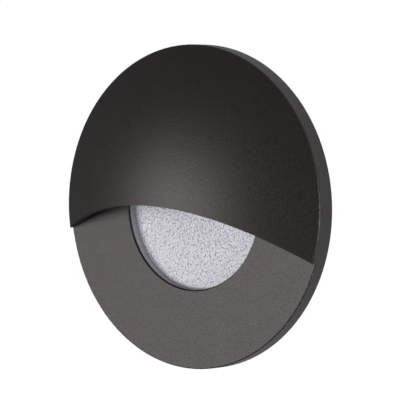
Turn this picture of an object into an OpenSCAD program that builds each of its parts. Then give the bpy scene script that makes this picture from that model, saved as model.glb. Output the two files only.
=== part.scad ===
/* [Bezel] */
// Diameter of the bezel disc
bezel_d = 100; // [98:0.5:112]
// Thickness of the bezel disc, from the wall to its flat face
bezel_t = 4.6; // [4.2:0.1:6]
// Radius of the round on the rim of the face
rim_round = 0.35; // [0.2:0.05:1]
// Diameter of the aperture in the face
aperture_d = 51.2; // [46:0.2:52]
// Depth of the metal edge of the aperture, in front of the lens gasket
aperture_edge = 0.6; // [0.5:0.1:1.6]

/* [Hood] */
// Height of the hood above the flat face
hood_h = 15; // [12:0.5:22]
// Height of the upright foot of the hood, which carries on the side of the rim
hood_foot = 0.8; // [0.5:0.1:3]
// Radius of the shoulder between the foot and the cap of the hood
hood_shoulder = 1; // [0.5:0.1:4]
// Wall thickness of the hood
hood_wall = 2.4; // [1.6:0.1:2.6]
// Radius of the arch of the mouth, seen from the front
arch_r = 103; // [80:1:160]
// Height of the top of the arch above the axis
arch_top = 0.3; // [-3:0.1:4]

/* [Lens] */
// Thickness of the glass lens
lens_t = 3; // [2.5:0.1:4]
// Overlap of the lens and the metal round the aperture
lens_overlap = 2.4; // [1.8:0.1:3]
// Thickness of the gasket in front of the lens
lens_gasket_t = 2.4; // [1:0.1:2.6]
// Thickness of the clamp ring behind the lens
clamp_ring_t = 2; // [1.5:0.1:3]

/* [Housing] */
// Depth of the housing behind the wall face
housing_depth = 50; // [49:1:70]
// Wall thickness of the housing
housing_wall = 2.5; // [2:0.1:3.5]
// Thickness of the flange at the front of the housing
flange_t = 2.5; // [2:0.1:3.5]
// Length of the collar that sits in the hole in the wall
collar_l = 6; // [5:0.5:6.5]
// Wall thickness of the collar
collar_wall = 1.2; // [1:0.1:1.4]
// Width of the gutter between the housing and the collar
gutter_w = 5.8; // [5.6:0.1:6.2]
// Depth of the floor that carries the light source
floor_depth = 20; // [19:0.5:24]
// Thickness of that floor
floor_t = 3; // [2.5:0.1:5]
// Height of the cooling ribs
rib_h = 3.5; // [2:0.1:4.5]
// Thickness of a cooling rib
rib_t = 1.6; // [1:0.1:2]
// Angle between neighbouring cooling ribs
rib_step = 10; // [9, 10, 12, 15]

/* [Rear cap and gland] */
// Thickness of the rear cap
cap_t = 3; // [2.5:0.1:4]
// Thread diameter of the cable gland
gland_d = 16; // [12:0.5:20]
// Diameter of the bore for the cable
cable_bore_d = 6.6; // [5:0.2:8]

/* [Clips] */
// Length of a clip arm from its pin to its end
arm_l = 36; // [28:1:42]
// Thickness of the steel of a clip arm
arm_t = 0.8; // [0.6:0.1:0.8]
// Diameter of a clip pin
clip_pin_d = 2.4; // [2:0.1:2.6]
// Depth of the clip pins behind the wall face
clip_depth = 12; // [12:0.5:14]
// Wire diameter of a clip spring
spring_wire = 0.8; // [0.6:0.05:0.85]
// Number of whole curls of a clip spring
spring_curls = 4; // [2:1:4]

/* [Hidden] */
$fn = 96;

// Small clearances: sliding parts, seated parts, and a hair's breadth for screws in threads
fit = 0.2;
seat = 0.1;
thread_gap = 0.05;
// Overlap that makes cuts and joined shapes clean
eps = 0.02;

// Colours
finish = [0.29, 0.27, 0.265];
cast_metal = [0.62, 0.63, 0.65];
steel = [0.75, 0.76, 0.78];
rubber = [0.13, 0.13, 0.14];
silicone = [0.62, 0.63, 0.66];

// Bezel and hood
bezel_r = bezel_d / 2;
aperture_r = aperture_d / 2;
aperture_chamfer = 0.4;

// Hood: the ball of its cap is tangent to the round of its shoulder, but for a hair by which it is smaller,
// so that the two cross in a clean line
cap_hair = 0.002;
hood_rise = hood_h - hood_foot;
hood_reach = bezel_r - hood_shoulder;
hood_cap_r = (pow(hood_reach, 2) + pow(hood_rise, 2) - pow(hood_shoulder, 2))
             / (2 * (hood_rise - hood_shoulder));
hood_cap_z = bezel_t + hood_h - hood_cap_r;
hood_turn = atan2(bezel_t + hood_foot - hood_cap_z, hood_reach);

// The stack behind the aperture, as heights in front of the wall
lens_gasket_front = bezel_t - aperture_edge;
lens_front = lens_gasket_front - lens_gasket_t;
lens_rear = lens_front - lens_t;
clamp_rear = lens_rear - clamp_ring_t;
lens_r = aperture_r + lens_overlap;
pocket_r = lens_r + fit;
spigot_wall = 4.05;
spigot_r = pocket_r + spigot_wall;
clamp_ring_r = spigot_r - seat;
clamp_ring_bore_r = aperture_r + 0.3;

// Housing
bore_r = spigot_r + 0.25;
can_r = bore_r + housing_wall;
gutter_r = can_r + gutter_w;
collar_r = gutter_r + collar_wall;
housing_gasket_t = 1;
floor_front = -floor_depth;
floor_rear = -floor_depth - floor_t;
rib_front = -collar_l - 2;
rib_rear = -housing_depth + 3;
rib_skip_clip = 22;
rib_skip_lug = 7;

// Wall gasket: a flat cord in the middle of the land between the collar and the rim
wall_gasket_t = 1.5;
wall_gasket_w = 1.6;
wall_gasket_mid = (bezel_r + collar_r) / 2;
wall_gasket_outer = wall_gasket_mid + wall_gasket_w / 2;
wall_gasket_inner = wall_gasket_mid - wall_gasket_w / 2;

// Screws: [shank radius, head radius, head height]
m2 = [1.0, 1.9, 1.3];
m3 = [1.5, 2.65, 1.8];
screw_count = 3;
clamp_screw_r = (pocket_r + spigot_r) / 2;
clamp_screw_depth = 3.6;
bezel_screw_r = (can_r + gutter_r) / 2;
bezel_screw_depth = 2.6;

// Light source
pad_t = 0.5;
board_t = 1.6;
led_board_r = 22.6;
board_front = floor_front + pad_t + board_t;
led_screw_r = 20.2;
led_screw_depth = 2.4;
emitter_w = 13.5;
emitter_t = 1.4;
emitter_eye_r = 5;
reflector_wall = 1.2;
reflector_front = clamp_rear - seat;
reflector_mouth_r = aperture_r - 0.8;
reflector_throat_r = 10;
reflector_rim_r = aperture_r + 2.2;

// Leads from the driver to the light source
lead_r = 0.7;
lead_hole_r = 3.2;
lead_pos_r = 27.4;
lead_side = 1.2;
lead_bend_r = 1.8;
lead_pad_r = 19.5;

// Driver board on four posts behind the floor
driver_w = 44;
driver_h = 38;
post_l = 5;
post_r = 3;
post_inset = 4.5;
post_x = driver_w / 2 - post_inset;
post_y = driver_h / 2 - post_inset;
post_thread_depth = 4;
driver_front = floor_rear - post_l;
driver_rear = driver_front - board_t;

// Rear cap
cap_front = -housing_depth;
cap_rear = cap_front - cap_t;
cap_plug_l = 4;
cap_plug_r = bore_r - 0.25;
cap_plug_wall = 2.9;
seal_wire_r = 0.85;
seal_groove_z = cap_front + 1.9;
seal_r = bore_r - seal_wire_r - thread_gap;
lug_r = 3.2;
lug_pos_r = can_r + 1.3;
lug_l = 12;
lug_angle = 45;
lug_screw_depth = 8;

// Gland
gland_hex_af = gland_d + 6;
gland_hex_t = 5;
gland_thread_l = cap_t + 5.5;
gland_nose_r = gland_d / 2 - 1;
gland_nose_l = 9;
gland_wall = 1.4;
gland_washer_t = 1.2;
gland_nut_af = gland_d + 4;
gland_nut_l = 12;
gland_flange_rear = cap_rear - gland_washer_t - gland_hex_t;
gland_nose_rear = gland_flange_rear - gland_nose_l;
gland_seal_r = gland_nose_r - gland_wall - seat;
locknut_t = 4;

// Parts on the driver board. The tall ones end short of the gland's locknut
tall_part_gap = 3.4;
tall_part_l = driver_rear - cap_front - locknut_t - tall_part_gap;
capacitor_r = 4.5;
capacitor_x = driver_w / 2 - capacitor_r - 0.3;
capacitor_y = 5;
capacitor_crimp = 0.6;
core_w = 4;
core_h = 16;
core_l = tall_part_l - 1;
winding_w = 14;
winding_h = 12;
winding_l = core_l - 1.5;
transformer_x = core_w + winding_w / 2 + 5 - driver_w / 2;
transformer_y = driver_h / 2 - core_h / 2 - 7.5;
terminal_ways = 3;
terminal_way_w = 6;
terminal_depth = 9;
terminal_l = 11;
terminal_y = 2 - driver_h / 2;
terminal_screw_r = 1.7;
terminal_screw_l = 4;
terminal_wire_r = 1.5;

// Clips, in the frame of the right-hand clip: x outward, y up, z toward the room
clip_pin_r = clip_pin_d / 2;
clip_pin_x = can_r + 3.2;
clip_pin_z = -clip_depth;
clip_pad_x = can_r + 1;
clip_pad_front = clip_pin_z - 3.5;
clip_pad_rear = clip_pad_front - 13.5;
clip_pad_half_w = 8.5;
bracket_t = 0.8;
bracket_half_w = 7;
bracket_eye_r = 2.4;
bracket_screw_inset = 3.6;
bracket_screw_front = clip_pad_front - bracket_screw_inset;
bracket_screw_rear = clip_pad_rear + bracket_screw_inset;
ear_toe_w = 1.4;
ear_knee_l = 7;
ear_back_l = 2.5;
ear_eye_inset = 0.3;
arm_gap = 2.5;
arm_half_w = bracket_half_w - bracket_t - 0.55;
arm_lug_r = 2.9;
arm_lug_t = 0.8;
arm_tip_half_w = 4;
arm_taper_l = 12;
arm_rib_w = 1.6;
arm_rib_t = 0.6;
arm_rib_start = 3;
stop_gap = 0.1;
stop_t = 0.8;
stop_x = 1;
stop_overlap = 0.9;
foot_l = 9;
foot_wall = 1.1;
foot_gap = 0.05;

// Clip spring
spring_gap = 0.5;
spring_pitch = spring_wire + spring_gap;
spring_r = clip_pin_r + 0.35 + spring_wire / 2;
spring_turns = spring_curls + 0.25;
rings_per_curl = 8;
ring_sides = 6;
fixed_leg_l = clip_pin_z - clip_pad_front - 0.3;
moving_leg_l = 9;

// Seating of the shapes: their own axis, z toward the room, becomes the axis square to the wall
module stand() {
  rotate([90, 0, 0]) children();
}

// A child moved to each of n places on a circle
module around(n, r, first = 90) {
  for (i = [0 : n - 1])
    rotate([0, 0, first + 360 * i / n]) translate([r, 0, 0]) children();
}

// A flat ring between two heights
module ring(outer, inner, bottom, top) {
  translate([0, 0, bottom]) difference() {
    cylinder(r = outer, h = top - bottom);
    translate([0, 0, -1]) cylinder(r = inner, h = top - bottom + 2);
  }
}

// A round bar between two heights
module bar(r, bottom, top) {
  translate([0, 0, bottom]) cylinder(r = r, h = top - bottom);
}

// A screw along z: its head's seat at height 0, its head below, its shank above
module screw(size, length) {
  head_r = size[1];
  socket_r = size[0] * 0.62;
  difference() {
    union() {
      bar(size[0], -eps, length);
      rotate_extrude() intersection() {
        translate([0, -size[2]]) square([head_r, size[2]]);
        translate([0, head_r * 1.1]) circle(r = head_r * 1.45 + 0.35);
      }
    }
    translate([0, 0, -size[2] - 1]) cylinder(r = socket_r, h = 1 + size[2] * 0.6, $fn = 6);
  }
}

// The ball of the hood's cap, less a thickness all round
module hood_ball(less) {
  translate([0, 0, hood_cap_z]) sphere(r = hood_cap_r - less, $fn = 240);
}

// The hood: an upright foot that carries on the side of the rim, a round shoulder and a shallow cap. It is
// hollow and its lower part is cut away under an arch. It starts below the round of the rim, and its hollow
// lower still, so that no film of metal is left over the aperture
module hood() {
  start = bezel_t - rim_round - eps;
  foot_top = bezel_t + hood_foot;
  top = bezel_t + hood_h + 1;
  difference() {
    union() {
      bar(bezel_r, start, foot_top);
      translate([0, 0, foot_top]) rotate([0, 0, -90])
        rotate_extrude() translate([hood_reach, 0]) circle(r = hood_shoulder);
      intersection() {
        hood_ball(cap_hair);
        bar(hood_reach + hood_shoulder * cos(hood_turn), start, top);
      }
    }
    intersection() {
      hood_ball(hood_wall);
      bar(bezel_r - hood_wall, start - eps, top);
    }
    translate([0, arch_top - arch_r, 0]) cylinder(r = arch_r, h = top, $fn = 360);
  }
}

// Half section of the bezel disc with its rounded rim and, behind it, the spigot for the lens
module bezel_section() {
  difference() {
    union() {
      square([bezel_r - rim_round, bezel_t]);
      square([bezel_r, bezel_t - rim_round]);
      translate([bezel_r - rim_round, bezel_t - rim_round]) circle(r = rim_round);
      translate([0, lens_rear]) square([spigot_r, -lens_rear + eps]);
    }
    translate([-1, lens_rear - 1]) square([aperture_r + 1, bezel_t - lens_rear + 2]);
    translate([0, lens_rear - 1]) square([pocket_r, lens_gasket_front - lens_rear + 1]);
    translate([spigot_r, -1]) square([collar_r + fit - spigot_r, 1 + housing_gasket_t]);
    translate([wall_gasket_inner - fit, -1])
      square([wall_gasket_outer - wall_gasket_inner + 2 * fit, 1 + wall_gasket_t]);
    translate([aperture_r, bezel_t])
      polygon([[-1, 1], [-1, -aperture_chamfer - 1], [0, -aperture_chamfer],
               [aperture_chamfer, 0], [aperture_chamfer, 1]]);
  }
}

module hood_bezel() {
  color(finish) stand() difference() {
    union() {
      rotate_extrude() bezel_section();
      hood();
    }
    around(screw_count, clamp_screw_r)
      bar(m2[0] + thread_gap, lens_rear - 1, lens_rear + clamp_screw_depth + 0.4);
    around(screw_count, bezel_screw_r)
      bar(m3[0] + thread_gap, 0, housing_gasket_t + bezel_screw_depth);
  }
}

module lens_gasket() {
  color(silicone) stand()
    ring(pocket_r - seat, aperture_r + 0.15, lens_front, lens_gasket_front);
}

// Glass disc with ground edges
module lens() {
  ground = 0.4;
  color([0.8, 0.82, 0.88]) stand() translate([0, 0, lens_rear]) rotate_extrude()
    polygon([[0, 0], [lens_r - ground, 0], [lens_r, ground], [lens_r, lens_t - ground],
             [lens_r - ground, lens_t], [0, lens_t]]);
}

module lens_clamp_ring() {
  color(steel) stand() difference() {
    ring(clamp_ring_r, clamp_ring_bore_r, clamp_rear, lens_rear);
    around(screw_count, clamp_screw_r) bar(m2[0] + fit, clamp_rear - 1, lens_rear + 1);
  }
}

module clamp_ring_screws() {
  color(steel) stand()
    around(screw_count, clamp_screw_r)
      translate([0, 0, clamp_rear]) screw(m2, clamp_ring_t + clamp_screw_depth);
}

module wall_gasket() {
  color(rubber) stand() ring(wall_gasket_outer, wall_gasket_inner, 0, wall_gasket_t);
}

module housing_gasket() {
  color(rubber) stand() difference() {
    ring(gutter_r, bore_r + fit, 0, housing_gasket_t);
    around(screw_count, bezel_screw_r) bar(m3[0] + fit, -1, housing_gasket_t + 1);
  }
}

// Cooling ribs round the housing, left out beside the clips and at the lugs of the rear cap
module ribs() {
  for (a = [0 : rib_step : 359]) {
    from_clip = min(a % 180, 180 - a % 180);
    from_lug = abs(a % 90 - lug_angle);
    if (from_clip > rib_skip_clip && from_lug > rib_skip_lug)
      rotate([0, 0, a]) rotate([90, 0, 0]) translate([0, 0, -rib_t / 2])
        linear_extrude(rib_t)
          polygon([[can_r - 1, rib_front + 1], [can_r + 0.4, rib_front + 1],
                   [can_r + rib_h, rib_front - rib_h], [can_r + rib_h, rib_rear + 1],
                   [can_r + rib_h - 1, rib_rear], [can_r - 1, rib_rear]]);
  }
}

// Half section of the housing: flange, collar, can and the floor for the light source
module housing_section() {
  translate([bore_r, cap_front]) square([housing_wall, housing_depth]);
  translate([bore_r, -flange_t]) square([collar_r - bore_r, flange_t]);
  translate([gutter_r, -collar_l]) square([collar_wall, collar_l]);
  translate([0, floor_rear]) square([bore_r + 1, floor_t]);
}

// Pads on the left and right of the can, on which the clip brackets are screwed
module clip_pads() {
  for (side = [0, 1]) mirror([side, 0, 0])
    translate([bore_r + 0.5, -clip_pad_half_w, clip_pad_rear])
      cube([clip_pad_x - bore_r - 0.5, 2 * clip_pad_half_w, clip_pad_front - clip_pad_rear]);
}

// A child turned to point outward at each bracket screw
module at_bracket_screws() {
  for (side = [0, 1])
    for (z = [bracket_screw_front, bracket_screw_rear])
      mirror([side, 0, 0]) translate([clip_pad_x + bracket_t, 0, z])
        rotate([0, -90, 0]) children();
}

// The round rooms before and behind the floor
module front_room() {
  bar(bore_r, floor_front, 1);
}

module rear_room() {
  difference() {
    bar(bore_r, cap_front - 1, floor_rear);
    for (x = [-post_x, post_x], y = [-post_y, post_y])
      translate([x, y, 0]) bar(post_r, driver_front, floor_rear + 1);
  }
}

module housing() {
  color(cast_metal) stand() difference() {
    union() {
      rotate_extrude() housing_section();
      ribs();
      clip_pads();
      around(4, lug_pos_r, lug_angle) bar(lug_r, cap_front, cap_front + lug_l);
      for (x = [-post_x, post_x], y = [-post_y, post_y])
        translate([x, y, 0]) bar(post_r, driver_front, floor_rear + eps);
    }
    rear_room();
    front_room();
    around(screw_count, bezel_screw_r) bar(m3[0] + fit, -flange_t - 1, 1);
    around(4, lug_pos_r, lug_angle)
      bar(m3[0] + thread_gap, cap_front - 1, cap_front + lug_screw_depth + 0.4);
    for (x = [-post_x, post_x], y = [-post_y, post_y])
      translate([x, y, 0])
        bar(m2[0] + thread_gap, driver_front - 1, driver_front + post_thread_depth);
    for (x = [-led_screw_r, led_screw_r])
      translate([x, 0, 0])
        bar(m2[0] + thread_gap, floor_front - led_screw_depth, floor_front + 1);
    translate([0, -lead_pos_r, 0]) bar(lead_hole_r, floor_rear - 1, floor_front + 1);
    at_bracket_screws() bar(m2[0] + thread_gap, -1, bracket_t + 2);
  }
}

module bezel_screws() {
  color(steel) stand()
    around(screw_count, bezel_screw_r) translate([0, 0, -flange_t])
      screw(m3, flange_t + housing_gasket_t + bezel_screw_depth - 0.2);
}

// Bowl of the reflector: a quarter-round wall between the throat and the mouth
module reflector_wall_section() {
  rise = reflector_front - board_front;
  spread = reflector_mouth_r - reflector_throat_r;
  bowl_r = (pow(rise, 2) + pow(spread, 2)) / (2 * spread);
  intersection() {
    difference() {
      translate([reflector_mouth_r + reflector_wall - bowl_r, rise]) circle(r = bowl_r, $fn = 180);
      translate([reflector_mouth_r - bowl_r, rise]) circle(r = bowl_r, $fn = 180);
    }
    translate([reflector_throat_r, 0]) square([reflector_rim_r, rise]);
  }
}

module reflector() {
  rise = reflector_front - board_front;
  rim_t = 1.2;
  foot_h = 1;
  color([0.93, 0.93, 0.94]) stand() translate([0, 0, board_front]) rotate_extrude() union() {
    reflector_wall_section();
    translate([reflector_mouth_r, rise - rim_t]) square([reflector_rim_r - reflector_mouth_r, rim_t]);
    translate([reflector_throat_r, 0]) square([2 * reflector_wall, foot_h]);
  }
}

module led_emitter() {
  carrier_t = emitter_t - 0.4;
  color([0.95, 0.85, 0.35]) stand() union() {
    translate([-emitter_w / 2, -emitter_w / 2, board_front]) cube([emitter_w, emitter_w, carrier_t]);
    bar(emitter_eye_r, board_front, board_front + emitter_t);
  }
}

module led_board() {
  color([0.9, 0.91, 0.9]) stand() difference() {
    bar(led_board_r, floor_front + pad_t, board_front);
    for (x = [-led_screw_r, led_screw_r])
      translate([x, 0, 0]) bar(m2[0] + fit, floor_front, board_front + 1);
  }
}

module thermal_pad() {
  color([0.55, 0.6, 0.7]) stand() difference() {
    bar(led_board_r - 0.5, floor_front, floor_front + pad_t);
    for (x = [-led_screw_r, led_screw_r])
      translate([x, 0, 0]) bar(m2[0] + fit, floor_front - 1, floor_front + pad_t + 1);
  }
}

module led_board_screws() {
  color(steel) stand()
    for (x = [-led_screw_r, led_screw_r])
      translate([x, 0, board_front]) mirror([0, 0, 1])
        screw(m2, board_t + pad_t + led_screw_depth - 0.2);
}

// One lead: up from the driver board through the floor, round a bend and in over the light's board
module lead() {
  bend_z = board_front + lead_r + 0.1 - lead_bend_r;
  translate([0, -lead_pos_r, 0]) bar(lead_r, driver_front, bend_z);
  translate([0, -lead_pos_r + lead_bend_r, bend_z]) rotate([90, 0, -90])
    rotate_extrude(angle = 90) translate([lead_bend_r, 0]) circle(r = lead_r, $fn = 32);
  translate([0, -lead_pad_r, bend_z + lead_bend_r]) rotate([90, 0, 0])
    cylinder(r = lead_r, h = lead_pos_r - lead_bend_r - lead_pad_r);
}

module led_leads() {
  color([0.75, 0.1, 0.08]) stand()
    for (x = [-lead_side, lead_side]) translate([x, 0, 0]) lead();
}

module lead_grommet() {
  flange_r = lead_hole_r + 1.1;
  flange_h = 0.9;
  color(rubber) stand() difference() {
    translate([0, -lead_pos_r, 0]) union() {
      bar(lead_hole_r - seat, floor_rear - flange_h, floor_front + flange_h);
      bar(flange_r, floor_front + thread_gap, floor_front + flange_h);
      bar(flange_r, floor_rear - flange_h, floor_rear - thread_gap);
    }
    for (x = [-lead_side, lead_side])
      translate([x, -lead_pos_r, 0]) bar(lead_r + thread_gap, floor_rear - 2, floor_front + 2);
  }
}

module driver_board() {
  color([0.12, 0.4, 0.2]) stand() difference() {
    translate([-driver_w / 2, -driver_h / 2, driver_rear]) cube([driver_w, driver_h, board_t]);
    for (x = [-post_x, post_x], y = [-post_y, post_y])
      translate([x, y, 0]) bar(m2[0] + fit, driver_rear - 1, driver_front + 1);
  }
}

module driver_board_screws() {
  color(steel) stand()
    for (x = [-post_x, post_x], y = [-post_y, post_y])
      translate([x, y, driver_rear]) screw(m2, board_t + post_thread_depth - 0.2);
}

// Wound transformer: a core of stacked plates round a taped winding
module driver_transformer() {
  color([0.85, 0.7, 0.2]) stand() translate([transformer_x, transformer_y, driver_rear]) union() {
    for (side = [0, 1]) mirror([side, 0, 0])
      translate([winding_w / 2 - eps, -core_h / 2, -core_l]) cube([core_w, core_h, core_l]);
    translate([-winding_w / 2, -winding_h / 2, -winding_l]) cube([winding_w, winding_h, winding_l]);
  }
}

module driver_capacitor() {
  color([0.1, 0.12, 0.25]) stand() translate([capacitor_x, capacitor_y, driver_rear])
    mirror([0, 0, 1]) union() {
      cylinder(r = capacitor_r, h = tall_part_l - capacitor_crimp);
      cylinder(r = capacitor_r - capacitor_crimp, h = tall_part_l);
    }
}

// Screw terminals for the supply cable
module terminal_block() {
  width = terminal_ways * terminal_way_w;
  color([0.2, 0.45, 0.3]) stand() translate([-width / 2, terminal_y, driver_rear - terminal_l])
    difference() {
      cube([width, terminal_depth, terminal_l]);
      for (i = [0 : terminal_ways - 1]) translate([(i + 0.5) * terminal_way_w, 0, 0]) {
        translate([0, terminal_depth * 0.6, -1])
          cylinder(r = terminal_screw_r, h = terminal_screw_l + 1);
        translate([0, -1, terminal_l * 0.4]) rotate([-90, 0, 0])
          cylinder(r = terminal_wire_r, h = terminal_depth * 0.7);
      }
    }
}

module rear_cap() {
  color(cast_metal) stand() difference() {
    union() {
      bar(can_r, cap_rear, cap_front);
      around(4, lug_pos_r, lug_angle) bar(lug_r, cap_rear, cap_front);
      ring(cap_plug_r, cap_plug_r - cap_plug_wall, cap_front - eps, cap_front + cap_plug_l);
    }
    ring(bore_r + 1, seal_r - seal_wire_r - thread_gap, seal_groove_z - seal_wire_r - thread_gap,
         seal_groove_z + seal_wire_r + thread_gap);
    around(4, lug_pos_r, lug_angle) bar(m3[0] + fit, cap_rear - 1, cap_front + 1);
    bar(gland_d / 2 + fit, cap_rear - 1, cap_front + 1);
  }
}

module rear_cap_seal() {
  color(rubber) stand() translate([0, 0, seal_groove_z])
    rotate_extrude() translate([seal_r, 0]) circle(r = seal_wire_r, $fn = 32);
}

module rear_cap_screws() {
  color(steel) stand()
    around(4, lug_pos_r, lug_angle) translate([0, 0, cap_rear])
      screw(m3, cap_t + lug_screw_depth);
}

// A hexagon between two heights, with its flats on the given width
module hexagon(across_flats, bottom, top) {
  translate([0, 0, bottom]) cylinder(r = across_flats / sqrt(3), h = top - bottom, $fn = 6);
}

module gland_body() {
  thread_end = cap_rear - gland_washer_t + gland_thread_l;
  color(rubber) stand() difference() {
    union() {
      bar(gland_d / 2, cap_rear - gland_washer_t - eps, thread_end);
      hexagon(gland_hex_af, gland_flange_rear, cap_rear - gland_washer_t);
      bar(gland_nose_r, gland_nose_rear, gland_flange_rear + eps);
    }
    bar(gland_nose_r - gland_wall, gland_nose_rear - 1, gland_flange_rear + 2);
    bar(cable_bore_d / 2 + 0.6, gland_nose_rear, thread_end + 1);
  }
}

module gland_washer() {
  color([0.35, 0.1, 0.08]) stand()
    ring(gland_hex_af / 2 - 0.4, gland_d / 2 + seat, cap_rear - gland_washer_t, cap_rear);
}

module gland_locknut() {
  color(rubber) stand() difference() {
    hexagon(gland_hex_af, cap_front, cap_front + locknut_t);
    bar(gland_d / 2 + thread_gap, cap_front - 1, cap_front + locknut_t + 1);
  }
}

module gland_seal() {
  color([0.3, 0.31, 0.33]) stand()
    ring(gland_seal_r, cable_bore_d / 2, gland_nose_rear + 0.1, gland_flange_rear + 1.9);
}

// Domed nut that squeezes the seal
module gland_nut() {
  nut_rear = gland_flange_rear - 0.3 - gland_nut_l;
  dome_r = gland_nut_af * 0.62;
  color(rubber) stand() difference() {
    intersection() {
      hexagon(gland_nut_af, nut_rear, gland_flange_rear - 0.3);
      translate([0, 0, nut_rear + dome_r - 0.6]) union() {
        sphere(r = dome_r);
        cylinder(r = dome_r, h = gland_nut_l);
      }
    }
    bar(gland_nose_r + thread_gap, gland_nose_rear - 0.1, gland_flange_rear + 1);
    bar(cable_bore_d / 2 + 0.3, nut_rear - 1, gland_flange_rear);
  }
}

// A child placed on the pin of the right clip, or mirrored onto the left
module at_clip(side) {
  stand() mirror([side == "left" ? 1 : 0, 0, 0])
    translate([clip_pin_x, 0, clip_pin_z]) children();
}

// Outline of a bracket's ear, seen along the pin: x outward, z toward the room
module ear_outline() {
  foot_x = clip_pad_x - clip_pin_x;
  rear_z = clip_pad_rear - clip_pin_z;
  front_z = arm_gap + arm_t + stop_gap + stop_t;
  difference() {
    union() {
      circle(r = bracket_eye_r);
      polygon([[foot_x, rear_z], [foot_x + ear_toe_w, rear_z], [bracket_eye_r, -ear_knee_l],
               [bracket_eye_r, 0], [ear_eye_inset - bracket_eye_r, 0], [foot_x, -ear_back_l]]);
      translate([stop_x, 0]) square([bracket_eye_r - stop_x, front_z]);
    }
    circle(r = clip_pin_r + thread_gap);
  }
}

// A shape drawn in the plane of x and z, given a width along y from one side to the other
module across_pin(from_y, to_y) {
  translate([0, to_y, 0]) rotate([90, 0, 0]) linear_extrude(to_y - from_y) children();
}

// Bracket: base plate, two ears and a bent tab on each ear that stops the arm
module clip_bracket(side) {
  foot_x = clip_pad_x - clip_pin_x;
  stop_front = arm_gap + arm_t + stop_gap + stop_t;
  stop_reach = stop_overlap + bracket_half_w - bracket_t / 2 - arm_half_w;
  color(steel) at_clip(side) difference() {
    union() {
      translate([foot_x, -bracket_half_w, clip_pad_rear - clip_pin_z])
        cube([bracket_t, 2 * bracket_half_w, clip_pad_front - clip_pad_rear]);
      across_pin(-bracket_half_w, bracket_t - bracket_half_w) ear_outline();
      across_pin(bracket_half_w - bracket_t, bracket_half_w) ear_outline();
      for (up = [0, 1]) mirror([0, up, 0])
        translate([stop_x, arm_half_w - stop_overlap, stop_front - stop_t])
          cube([bracket_eye_r - stop_x, stop_reach, stop_t]);
    }
    for (z = [bracket_screw_front, bracket_screw_rear])
      translate([foot_x - 1, 0, z - clip_pin_z]) rotate([0, 90, 0])
        cylinder(r = m2[0] + fit, h = bracket_t + 2);
  }
}

module clip_bracket_screws() {
  color(steel) stand() at_bracket_screws() screw(m2, bracket_t + 1.8);
}

module clip_pin(side) {
  head_r = clip_pin_r + 0.6;
  head_t = 0.5;
  color(steel) at_clip(side) rotate([90, 0, 0]) union() {
    bar(clip_pin_r, -bracket_half_w - head_t, bracket_half_w + head_t);
    bar(head_r, bracket_half_w + thread_gap, bracket_half_w + thread_gap + head_t);
    bar(head_r, -bracket_half_w - thread_gap - head_t, -bracket_half_w - thread_gap);
  }
}

// Outline of an arm's lug, seen along the pin
module lug_outline() {
  difference() {
    union() {
      circle(r = arm_lug_r);
      polygon([[0, 0], [0, arm_gap + eps], [10, arm_gap + eps], [arm_lug_r, 0]]);
    }
    circle(r = clip_pin_r + thread_gap);
  }
}

// Arm: pressed steel strip with a stiffening rib and two lugs on the pin
module clip_arm(side) {
  shoulder_x = arm_l - arm_taper_l;
  color(steel) at_clip(side) union() {
    translate([0, 0, arm_gap]) linear_extrude(arm_t)
      polygon([[0, -arm_half_w], [shoulder_x, -arm_half_w], [arm_l, -arm_tip_half_w],
               [arm_l, arm_tip_half_w], [shoulder_x, arm_half_w], [0, arm_half_w]]);
    across_pin(-arm_half_w, arm_lug_t - arm_half_w) lug_outline();
    across_pin(arm_half_w - arm_lug_t, arm_half_w) lug_outline();
    translate([shoulder_x / 2 + arm_rib_start, -arm_rib_w / 2, arm_gap - arm_rib_t])
      cube([shoulder_x / 2, arm_rib_w, arm_rib_t + eps]);
  }
}

// Rubber sleeve on the end of an arm
module clip_foot(side) {
  half_w = arm_half_w;
  mid_z = arm_gap + arm_t / 2;
  half_t = arm_t / 2 + foot_wall;
  color(rubber) at_clip(side) difference() {
    translate([arm_l - foot_l, 0, mid_z]) union() {
      translate([0, -half_w, -half_t]) cube([foot_l, 2 * half_w, 2 * half_t]);
      translate([foot_l, half_w, 0]) rotate([90, 0, 0]) cylinder(r = half_t, h = 2 * half_w);
    }
    translate([0, 0, arm_gap - foot_gap]) linear_extrude(arm_t + 2 * foot_gap)
      polygon([[0, -arm_half_w - foot_gap], [arm_l - arm_taper_l, -arm_half_w - foot_gap],
               [arm_l + foot_gap, -arm_tip_half_w - foot_gap],
               [arm_l + foot_gap, arm_tip_half_w + foot_gap],
               [arm_l - arm_taper_l, arm_half_w + foot_gap], [0, arm_half_w + foot_gap]]);
  }
}

// A ring of points round the wire: c is its centre, out the direction away from the pin
function wire_ring(c, out) = [
  for (k = [0 : ring_sides - 1])
    c + spring_wire / 2 * (out * cos(360 * k / ring_sides) + [0, 1, 0] * sin(360 * k / ring_sides))
];

// Centres and outward directions along the spring: fixed leg, curls, moving leg
half_coil = spring_pitch * spring_turns / 2;
coil_steps = spring_turns * rings_per_curl;
spring_stations = concat(
  [[[-spring_r, -half_coil, -fixed_leg_l], [-1, 0, 0]]],
  [for (i = [0 : coil_steps])
    let (a = 180 - 360 * i / rings_per_curl)
    [[spring_r * cos(a), spring_pitch * i / rings_per_curl - half_coil, spring_r * sin(a)],
     [cos(a), 0, sin(a)]]],
  [[[moving_leg_l, half_coil, spring_r], [0, 0, 1]]]
);

// Least gap between curls, measured on the stations half a curl or more apart
coil_centres = [for (i = [1 : coil_steps + 1]) spring_stations[i][0]];
least_gap = min([
  for (i = [0 : coil_steps], j = [i + rings_per_curl / 2 : 1 : coil_steps])
    norm(coil_centres[i] - coil_centres[j])
]) - spring_wire;
echo(str("Clip spring, least gap between its curls in mm: ", least_gap));

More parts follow.
